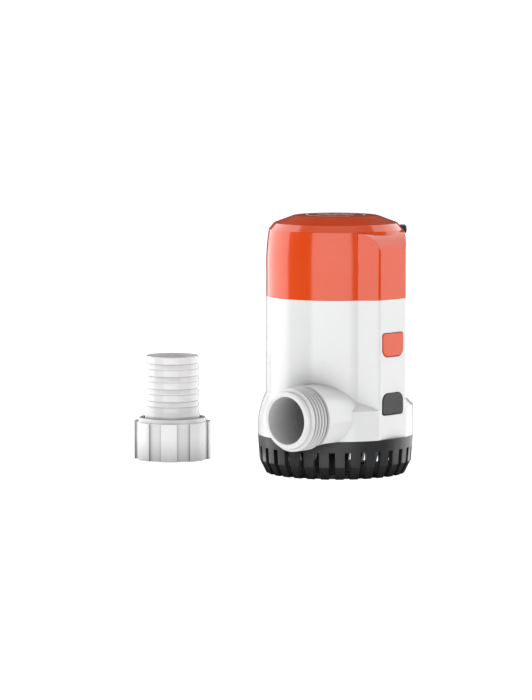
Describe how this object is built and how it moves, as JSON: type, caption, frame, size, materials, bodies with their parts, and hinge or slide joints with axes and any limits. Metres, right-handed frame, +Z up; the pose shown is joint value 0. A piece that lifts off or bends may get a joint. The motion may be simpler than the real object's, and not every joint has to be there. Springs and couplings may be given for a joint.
{
  "type": "bilge pump",
  "caption": "Submersible bilge pump with a slotted snap-off strainer, lift-out motor cartridge, threaded side outlet and a separate barbed hose adapter with a union nut.",
  "frame": {"origin": "centre of the strainer base's underside, on the pump's axis", "axes": "+Z up along the pump's axis, -Y out of the discharge port, +X through the latch column"},
  "size_m": [0.1677, 0.0995, 0.1385],
  "materials": {
    "black_nylon": "satin moulded",
    "white_abs": "semi-gloss moulded",
    "orange_abs": "gloss moulded",
    "grey_plastic": "matte",
    "rubber": "matte",
    "red_insulation": "satin",
    "stainless": "bright",
    "zinc_steel": "zinc plated",
    "laminations": "stacked sheet",
    "ferrite": "matte",
    "bronze": "sintered",
    "copper": "enamelled",
    "carbon": "matte"
  },
  "bodies": {
    "base": {"strainer_base": "black_nylon"},
    "pump_body": {"pump_housing": "white_abs", "volute_cover": "white_abs", "volute_cover_seal": "rubber", "volute_cover_screws": "stainless"},
    "motor_button": {"motor_release_button": "orange_abs"},
    "base_button": {"base_release_button": "black_nylon"},
    "cartridge": {"motor_cap": "orange_abs", "cap_seal": "rubber", "cable_gland": "black_nylon", "gland_potting": "rubber", "lead_positive": "red_insulation", "lead_negative": "rubber", "cartridge_sleeve": "grey_plastic", "cartridge_seal": "rubber", "sleeve_screws": "stainless", "shaft_seal": "rubber", "seal_spring": "stainless", "motor_can": "zinc_steel", "motor_magnets": "ferrite", "motor_end_bell": "grey_plastic", "motor_terminals": "bronze", "brushes": "carbon", "brush_springs": "stainless", "lower_bearing": "bronze", "upper_bearing": "bronze"},
    "rotor": {"shaft": "stainless", "armature_core": "laminations", "armature_windings": "copper", "commutator": "copper", "impeller": "grey_plastic"},
    "hose_adapter": {"hose_tail": "white_abs", "union_gasket": "rubber"},
    "nut": {"union_nut": "white_abs"}
  },
  "joints": [
    {"name": "pump_body_lift", "type": "slide", "parent": "base", "child": "pump_body", "axis": [0, 0, 1], "range_m": [0, 0.04]},
    {"name": "cartridge_lift", "type": "slide", "parent": "pump_body", "child": "cartridge", "axis": [0, 0, 1], "range_m": [0, 0.08]},
    {"name": "motor_button_press", "type": "slide", "parent": "pump_body", "child": "motor_button", "axis": [-1, 0, 0], "range_m": [0, 0.0018], "stiffness_N_per_m": 400},
    {"name": "base_button_press", "type": "slide", "parent": "pump_body", "child": "base_button", "axis": [-1, 0, 0], "range_m": [0, 0.0018], "stiffness_N_per_m": 400},
    {"name": "rotor_spin", "type": "hinge", "parent": "cartridge", "child": "rotor", "pos_m": [0, 0, 0.078], "axis": [0, 0, 1], "continuous": true},
    {"name": "adapter_lift", "type": "slide", "parent": "base", "child": "hose_adapter", "axis": [0, 0, 1], "range_m": [0, 0.05]},
    {"name": "nut_turn", "type": "hinge", "parent": "hose_adapter", "child": "nut", "pos_m": [-0.105, -0.0165, 0.012], "axis": [0, 0, 1], "continuous": true}
  ]
}
